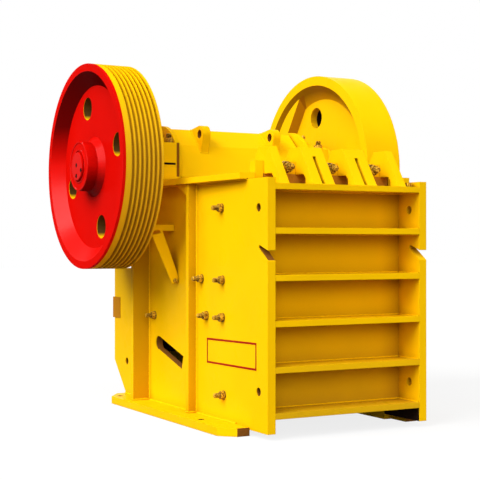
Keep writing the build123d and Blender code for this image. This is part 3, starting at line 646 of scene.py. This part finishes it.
zinc_bright, zinc_rust, zinc_crevice_shade = (0.80, 0.46, 0.03), (0.16, 0.050, 0.003), (0.030, 0.010, 0.003)
zinc = bpy.data.materials.new("plated_fasteners")
zinc.use_nodes = True
tree = zinc.node_tree
shader = tree.nodes["Principled BSDF"]
shader.inputs["Metallic"].default_value = 0.0
shader.inputs["Specular IOR Level"].default_value = 0.08
dull = cloud(tree, 75.0, 5.0, 0.7)
# Ambient occlusion darkens the fasteners' crevices to near black: painted shade.
crevice_ao = add_node(tree, "ShaderNodeAmbientOcclusion", samples=6)
crevice_ao.inputs["Distance"].default_value = 0.02
plated = mix_colour(tree, ramp(tree, dull, 0.44, 0.56), zinc_bright, zinc_rust)
tree.links.new(mix_colour(tree, ramp(tree, crevice_ao.outputs["AO"], 0.85, 0.35), plated, zinc_crevice_shade),
               shader.inputs["Base Color"])
tree.links.new(ramp(tree, dull, 0.3, 0.7, 0.28, 0.5), shader.inputs["Roughness"])
chased = add_node(tree, "ShaderNodeBump")
chased.inputs["Strength"].default_value = 0.3
chased.inputs["Distance"].default_value = 0.001
tree.links.new(dull, chased.inputs["Height"])
tree.links.new(chased.outputs["Normal"], shader.inputs["Normal"])


def turned_round(bm, place, way, profile, sides=20):
    """A closed lathe form about a line from place along way; the profile is (along, radius) points."""
    turn = Vector(way).to_track_quat("Z", "Y").to_matrix()
    rings = []
    for along, radius in profile:
        ring = [Vector((radius * math.cos(a), radius * math.sin(a), along))
                for a in (math.tau * side / sides for side in range(sides))]
        rings.append([bm.verts.new(Vector(place) + turn @ spot) for spot in ring])
    skin(bm, rings)


def nut(bm, place, way, across, height, spin=0.0):
    """A hexagon nut with its corners turned off, from place along way."""
    turn = Vector(way).to_track_quat("Z", "Y").to_matrix()
    corner = across / math.sqrt(3)
    levels = [(0.0, 0.90), (height * 0.14, 1.0), (height * 0.86, 1.0), (height, 0.90)]
    rings = []
    for along, share in levels:
        ring = []
        for side in range(24):
            a = math.tau * side / 24
            flat = across / 2 / math.cos((a + math.pi / 6) % (math.pi / 3) - math.pi / 6)
            radius = min(flat, corner * share if share < 1 else corner)
            spot = Vector((radius * math.cos(a + spin), radius * math.sin(a + spin), along))
            ring.append(bm.verts.new(Vector(place) + turn @ spot))
        rings.append(ring)
    skin(bm, rings)


def stud(bm, place, way, radius, length, spin=0.0, gap=0.0):
    """A threaded stud with a washer and a nut, sticking out of the plate at place."""
    place, way = Vector(place), Vector(way).normalized()
    turned_round(bm, place - way * 0.004, way, [(0, radius * 1.8), (0.010, radius * 1.8)], 28)
    nut(bm, place + way * (0.006 + gap), way, radius * 3.0, radius * 1.6, spin)
    pitch = 0.0042
    thread = [(0.0, radius * 0.9)]
    while thread[-1][0] < length - 2 * pitch:
        at = thread[-1][0]
        thread += [(at + pitch / 2, radius), (at + pitch, radius * 0.88)]
    thread += [(length - pitch * 0.5, radius * 0.88), (length, radius * 0.70)]
    turned_round(bm, place, way, thread, 18)


cap_stud_r = 0.024
for hand, side in (("left", -1), ("right", 1)):
    low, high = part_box(f"bearing_cap_{hand}")
    shoulder = shaft_axis.z + 0.205
    bm = bmesh.new()
    for y in (low.y + 0.055, high.y - 0.055):
        stud(bm, (side * 0.765, y, shoulder), (0, 0, 1), cap_stud_r, 0.082, 0.3)
    keep(f"cap_studs_{hand}", bm, "frame", zinc)

# Grease fittings: a plated steel body with a hexagon and a nipple on it, screwed into the crown of
# each bearing housing.
fitting_body = 0.034
nipple = [(0, 0.014), (0.016, 0.014), (0.018, 0.021), (0.036, 0.021), (0.042, 0.012), (0.050, 0.010)]
for hand, side in (("left", -1), ("right", 1)):
    foot = Vector((side * 0.765, 0.270, shaft_axis.z + 0.276))
    bm = bmesh.new()
    nut(bm, foot, (0, 0, 1), 0.048, fitting_body, 0.3)
    turned_round(bm, foot + Vector((0, 0, fitting_body)), (0, 0, 1), nipple)
    keep(f"grease_fitting_{hand}", bm, "frame", zinc)

# Belt guard bracket: its brace is an angle bar of the same enamelled steel, with one flange turned to
# the front. The flange is welded along the brace, and a plated hexagon bolt holds its foot to the wall.
flange_outline = [(-0.985, 1.540), (-0.878, 1.562), (-0.7355, 1.196), (-0.7355, 1.128), (-0.792, 1.122)]
flange_y = (-0.118, -0.109)
bolt_place = (-0.765, flange_y[0], 1.150)
bm = bmesh.new()
skin(bm, [[bm.verts.new((x, y, z)) for x, z in flange_outline] for y in flange_y])
bmesh.ops.bevel(bm, geom=list(bm.edges), offset=0.002, segments=2, affect="EDGES")
bead(bm, (-0.880, -0.108, 1.552), (-0.742, -0.108, 1.200), 0.005)
keep("bracket_flange", bm, "frame", frame_paint, 30)
bm = bmesh.new()
nut(bm, bolt_place, (0, -1, 0), 0.034, 0.016, 0.2)
turned_round(bm, bolt_place, (0, -1, 0), [(0, 0.010), (0.024, 0.010), (0.027, 0.007)])
keep("bracket_bolt", bm, "frame", zinc)

# Deck bolts: two plated hexagon bolts with washers, through the deck over the top rib, beside the
# right end gusset.
deck_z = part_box("front_rib_6")[1].z
bm = bmesh.new()
for x, y, rise in ((0.622, -1.565, 0.030), (0.628, -1.450, 0.085)):
    turned_round(bm, (x, y, deck_z - 0.003), (0, 0, 1), [(0, 0.034), (0.008, 0.034)], 24)
    nut(bm, (x, y, deck_z + 0.004), (0, 0, 1), 0.050, 0.028, 0.4)
    turned_round(bm, (x, y, deck_z), (0, 0, 1), [(0, 0.015), (rise - 0.003, 0.015), (rise + 0.003, 0.012)])
keep("deck_bolts", bm, "frame", zinc)

# Wall studs: threaded steel studs through both side walls. They hold what is fitted inside, above all
# the cheek plates, and each has a washer and a nut outside.
wall_stud_r, wall_stud_out = 0.020, 0.09
wall_stud_places = [(-0.920, 1.750), (-0.937, 1.177), (-0.937, 0.879), (-0.954, 0.265), (-0.568, 1.179),
                    (-0.658, 0.880), (0.360, 0.830)]
for hand, side in (("left", -1), ("right", 1)):
    bm = bmesh.new()
    for turn_on, (y, z) in enumerate(wall_stud_places):
        stud(bm, (side * outer_x, y, z), (side, 0, 0), wall_stud_r, wall_stud_out, turn_on * 0.41)
    keep(f"wall_studs_{hand}", bm, "frame", zinc)

# Clamp studs: three long threaded studs, one in each bay between the gussets. Their nuts press the
# clamp bar back and down on the wedge.
clamp_face_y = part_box("jaw_clamp")[0].y
bm = bmesh.new()
for x in (-0.402, 0.0, 0.402):
    place = Vector((x, clamp_face_y, 2.060))
    way = Vector((0, -1, 0.0))
    stud(bm, place, way, 0.024, 0.135, 0.2, 0.045)
    turned_round(bm, place, way, [(0, 0.050), (0.050, 0.046)], 28)
keep("clamp_studs", bm, "frame", zinc)

# Belt sheave: an iron casting with turned grooves, keyed on the shaft. Its outer side is glossy red,
# and its rim, grooves, holes and inner side are yellow. The red is darkened with painted shade under the
# rim and the hub, and the holes' upper bores carry painted shade in dark brown.
sheave_red = (0.64, 0.0032, 0.0012)
sheave_red_shade = (0.06, 0.0003, 0.0003)
rim_low_brown = (0.36, 0.17, 0.02)
sheave_bore_brown = (0.080, 0.042, 0.010)
sheave_face_x, sheave_web_x, sheave_back_x = -1.390, -1.3115, -1.205
sheave_rim_r, sheave_foot_r, rim_low_r = 0.8205, 0.706, 0.83
sheave_flare_r, sheave_hub_shade_r = 0.27, 0.30
hole_turns, hole_ring_r, hole_band = (73, 163, 253, 343), 0.545, (0.43, 0.66)


def round_the_shaft(tree):
    """The place in the casting, then x, the ways back and up from the shaft's line, and the radius."""
    place = add_node(tree, "ShaderNodeTexCoord")
    parts = add_node(tree, "ShaderNodeSeparateXYZ")
    tree.links.new(place.outputs["Object"], parts.inputs[0])
    back = maths(tree, "SUBTRACT", parts.outputs[1], shaft_axis.y)
    up = maths(tree, "SUBTRACT", parts.outputs[2], shaft_axis.z)
    squares = maths(tree, "ADD", maths(tree, "MULTIPLY", back, back), maths(tree, "MULTIPLY", up, up))
    return place.outputs["Object"], parts.outputs[0], back, up, maths(tree, "SQRT", squares)


def all_of(tree, *masks):
    """Masks multiplied together."""
    product = masks[0]
    for mask in masks[1:]:
        product = maths(tree, "MULTIPLY", product, mask)
    return product


def between(tree, value, low, high):
    """Mask of the values between low and high."""
    return all_of(tree, maths(tree, "GREATER_THAN", value, low), maths(tree, "LESS_THAN", value, high))


wheel_paint, tree, shader, spray = finish(
    "sheave_two_paints", enamel_yellow, enamel_corner_shade, reach=0.05, start=0.92)
# The red's corner colour, with a long reach, lays painted shade into the dish.
red_spray = add_node(tree, "ShaderNodeGroup", node_tree=sprayed)
red_spray.inputs["Paint"].default_value = (*sheave_red, 1)
red_spray.inputs["Corner"].default_value = (*sheave_red_shade, 1)
red_spray.inputs["Corner reach"].default_value = 0.28
red_spray.inputs["Corner start"].default_value = 0.88
red_spray.inputs["Wear"].default_value = 0.3
place, x, dy, dz, radius = round_the_shaft(tree)
dish = all_of(tree, maths(tree, "LESS_THAN", x, sheave_web_x), maths(tree, "LESS_THAN", radius, sheave_rim_r))
red_side = maths(tree, "MAXIMUM", dish, maths(tree, "LESS_THAN", x, sheave_face_x))
two_paints = mix_colour(tree, red_side, spray.outputs["Color"], red_spray.outputs["Color"])
# The upper part of each hole's bore is painted dark brown and its bottom stays yellow: painted shade.
across = add_node(tree, "ShaderNodeVectorMath", operation="MULTIPLY")
across.inputs[1].default_value = (0, 1, 1)
tree.links.new(place, across.inputs[0])
to_foot = None
for turn in hole_turns:
    gap = add_node(tree, "ShaderNodeVectorMath", operation="DISTANCE")
    gap.inputs[1].default_value = (0, shaft_axis.y + hole_ring_r * math.cos(math.radians(turn)),
                                   shaft_axis.z + hole_ring_r * math.sin(math.radians(turn)) - 0.1)
    tree.links.new(across.outputs[0], gap.inputs[0])
    near = gap.outputs["Value"]
    to_foot = near if to_foot is None else maths(tree, "MINIMUM", to_foot, near)
in_web = in_box(tree, ((sheave_web_x + 0.003, -1, 1), (sheave_back_x, 2, 3.5)))
sheave_bore_shade = all_of(tree, in_web, between(tree, radius, *hole_band), ramp(tree, to_foot, 0.055, 0.10))
in_dish = in_box(tree, ((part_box("sheave")[0].x + 0.003, -1, 1), (sheave_web_x - 0.002, 2, 3.5)))
on_rim_cone = all_of(tree, dish, maths(tree, "GREATER_THAN", radius, sheave_foot_r))
# Painted shade: the red is darkened on the rim's cone towards the top and on the hub's underside.
under_rim = all_of(tree, on_rim_cone, ramp(tree, dz, 0.05, 0.40, 0.0, 0.9))
under_hub = all_of(tree, maths(tree, "LESS_THAN", radius, sheave_hub_shade_r), in_dish,
                   ramp(tree, dz, 0.0, -0.14, 0.0, 0.7))
shaded = maths(tree, "MAXIMUM", under_rim, under_hub)
# The yellow rim is painted browner towards the bottom.
rim_lowering = all_of(tree, maths(tree, "SUBTRACT", 1.0, red_side),
                   maths(tree, "GREATER_THAN", radius, rim_low_r), ramp(tree, dz, 0.70, 0.05, 0.0, 0.38))
rim_darkened = mix_colour(tree, rim_lowering, two_paints, rim_low_brown)
deep_red = mix_colour(tree, shaded, rim_darkened, sheave_red_shade)
tree.links.new(mix_colour(tree, sheave_bore_shade, deep_red, sheave_bore_brown), shader.inputs["Base Color"])
tree.links.new(maths(tree, "SUBTRACT", spray.outputs["Roughness"], maths(tree, "MULTIPLY", red_side, 0.10)),
               shader.inputs["Roughness"])
on_cone = maths(tree, "MAXIMUM", on_rim_cone,
                all_of(tree, in_dish, maths(tree, "LESS_THAN", radius, sheave_flare_r)))
bright_cone = all_of(tree, on_cone, ramp(tree, dz, 0.12, -0.10, 0.35, 1.0))
clean_cone = maths(tree, "SUBTRACT", bright_cone, shaded)
tree.links.new(ramp(tree, clean_cone, 0.0, 1.0, 0.03, 0.22), shader.inputs["Coat Weight"])
shader.inputs["Specular IOR Level"].default_value = 0.0
shader.inputs["Coat Roughness"].default_value = 0.30
dress(wheel_paint, "sheave")

red_paint, tree, shader, spray = finish("red_enamel", sheave_red, sheave_red_shade, wear=0.2, reach=0.03)
shader.inputs["Specular IOR Level"].default_value = 0.0
shader.inputs["Coat Weight"].default_value = 0.12
shader.inputs["Coat Roughness"].default_value = 0.16
dress(red_paint, "sheave_end_cap")

# Sheave hub: two raised rings turned on its end face, in the sheave's red. Three steel screws, sunk in
# the end cap, hold the cap on the shaft's end.
hub_ring_r = (0.141, 0.207)
hub_ring_section = ((0.0, -0.006), (0.006, -0.003), (0.006, 0.003), (0.0, 0.006))    # out of the face, radius
ring_steps = 64
hub_face_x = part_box("sheave")[0].x
cap_face_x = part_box("sheave_end_cap")[0].x
bm = bmesh.new()
for r in hub_ring_r:
    ring = []
    for step in range(ring_steps):
        a = math.tau * step / ring_steps
        for along, out_by in hub_ring_section:
            ring.append(bm.verts.new((hub_face_x - along, shaft_axis.y + (r + out_by) * math.cos(a),
                                      shaft_axis.z + (r + out_by) * math.sin(a))))
    for step in range(ring_steps):
        for edge in range(3):
            a, b = step * 4 + edge, ((step + 1) % ring_steps) * 4 + edge
            bm.faces.new((ring[a], ring[a + 1], ring[b + 1], ring[b]))
keep("sheave_hub_rings", bm, "rotor", red_paint)

screw_places = ((0.0117, 0.0099), (-0.0945, -0.0369), (0.0117, -0.0828))
screw_r = 0.021
bm = bmesh.new()
for y, z in screw_places:
    turned_round(bm, (cap_face_x, shaft_axis.y + y, shaft_axis.z + z), (1, 0, 0),
                 [(-0.0001, screw_r), (0.004, screw_r)], 6)
keep("end_cap_screws", bm, "rotor", shim_skin)

# Flywheel: an iron casting like the sheave, without grooves and all yellow, keyed on the shaft's other
# end. A counterweight is cast in on the machine's side. Brown painted shade darkens it under the rim and
# on the counterweight's end, and the holes' bores are painted near black as painted shade.
web_x, dish_x, weight_x = (1.105, 1.169), (0.917, 1.034), (0.9532, 1.0342)
fly_hole_band, fly_rim_r = (0.45, 0.68), 0.8497
cone_slope, cone_from = 1.0504, 1.8070    # the rim's cone is where radius + slope * x is past this
weight_turn, weight_band = math.radians(34.8), (0.612, 0.668)
fly_bore_shade, fly_rim_shade, weight_end_shade = (0.010, 0.005, 0.003), (0.16, 0.055, 0.001), (0.30, 0.11, 0.003)


def between_x(tree, pair):
    """Mask of the wheel between two planes across the shaft."""
    return in_box(tree, ((pair[0], -1, 1), (pair[1], 2, 3.5)))


flywheel_paint, tree, shader, spray = finish(
    "flywheel_enamel", enamel_yellow, enamel_corner_shade, wear=0.3, reach=0.25, start=0.92)
place, x, dy, dz, radius = round_the_shaft(tree)
# The bores are painted near black, and the rim and counterweight's end brown, as painted shade.
in_bores = all_of(tree, between_x(tree, web_x), between(tree, radius, *fly_hole_band))
leave_bare(tree, shader, spray, in_bores, fly_bore_shade)
on_cone = maths(tree, "GREATER_THAN", maths(tree, "ADD", radius, maths(tree, "MULTIPLY", x, cone_slope)),
                cone_from)
under_rim = all_of(tree, between_x(tree, dish_x), maths(tree, "LESS_THAN", radius, fly_rim_r),
                   ramp(tree, dz, 0.10, 0.45, 0.0, 0.8), on_cone, ramp(tree, radius, 0.725, 0.80, 0.35, 1.0))
paint_over(tree, shader, under_rim, fly_rim_shade)
along_weight = maths(tree, "ADD", maths(tree, "MULTIPLY", dy, math.cos(weight_turn)),
                     maths(tree, "MULTIPLY", dz, math.sin(weight_turn)))
weight_end = all_of(tree, between_x(tree, weight_x), between(tree, along_weight, *weight_band))
paint_over(tree, shader, maths(tree, "MULTIPLY", weight_end, 0.8), weight_end_shade)
dress(flywheel_paint, "flywheel", "flywheel_end_cap")

# Size panel on the sheave side's wall: a plain field of the wall's own yellow with a border line of
# red enamel, painted on around a mask.
line_red, line_red_corner = (0.36, 0.010, 0.004), (0.3, 0.01, 0.0)
panel_corners = [(-0.658, 0.700), (-1.477, 0.716), (-1.477, 0.505), (-0.658, 0.496)]
panel_line = 0.016
bm = bmesh.new()
middle = Vector((sum(y for y, z in panel_corners) / 4, sum(z for y, z in panel_corners) / 4))
rows = []
for lift in (0.0, 0.0012):
    for inset in (0.0, panel_line):
        row = []
        for y, z in panel_corners:
            sign = Vector((1 if y > middle.x else -1, 1 if z > middle.y else -1))
            row.append(bm.verts.new((-outer_x - lift, y - sign.x * inset, z - sign.y * inset)))
        rows.append(row)
for one, two in ((0, 2), (2, 3), (3, 1)):
    for k in range(4):
        bm.faces.new((rows[one][k], rows[one][(k + 1) % 4], rows[two][(k + 1) % 4], rows[two][k]))
line_paint = finish("red_line_paint", line_red, line_red_corner, wear=0.0)[0]
keep("panel_outline", bm, "frame", line_paint)

# Tension rods: threaded steel rods from the foot of the moving jaw, each with a coil spring between
# the rear wall and a washer, so that the jaw stays pressed on its toggle plate.
oiled = casting("oiled_steel", (0.045, 0.040, 0.037), 0.42, 0.8, 80.0, 0.001)
dress(oiled, "tension_rods")
coil_r, wire_r, coil_turns, coil_z = 0.054, 0.0125, 6.5, 0.232
wall_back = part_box("rear_wall")[1].y
washer_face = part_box("tension_springs")[1].y
bm = bmesh.new()
for x in (-0.330, 0.330):
    steps = int(coil_turns * 20)
    rings = []
    for step in range(steps + 1):
        share = step / steps
        eased = min(1, max(0, (share - 0.08) / 0.84))
        a = share * coil_turns * math.tau
        out_way = Vector((math.cos(a), 0, math.sin(a)))
        y = wall_back + wire_r + (washer_face - wall_back - 2 * wire_r) * eased
        middle = Vector((x, y, coil_z)) + out_way * coil_r
        section = [out_way * wire_r * math.cos(b) + Vector((0, wire_r * math.sin(b), 0))
                   for b in (math.tau * side / 10 for side in range(10))]
        rings.append([bm.verts.new(middle + spot) for spot in section])
    skin(bm, rings)
bmesh.ops.recalc_face_normals(bm, faces=bm.faces)
mesh = bpy.data.meshes.new("tension_coils")
bm.to_mesh(mesh)
bm.free()
mesh.shade_smooth()
coils = bpy.data.objects.new("tension_coils", mesh)
scene.collection.objects.link(coils)
mesh.materials.append(oiled)
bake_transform(coils)
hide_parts("tension_springs")
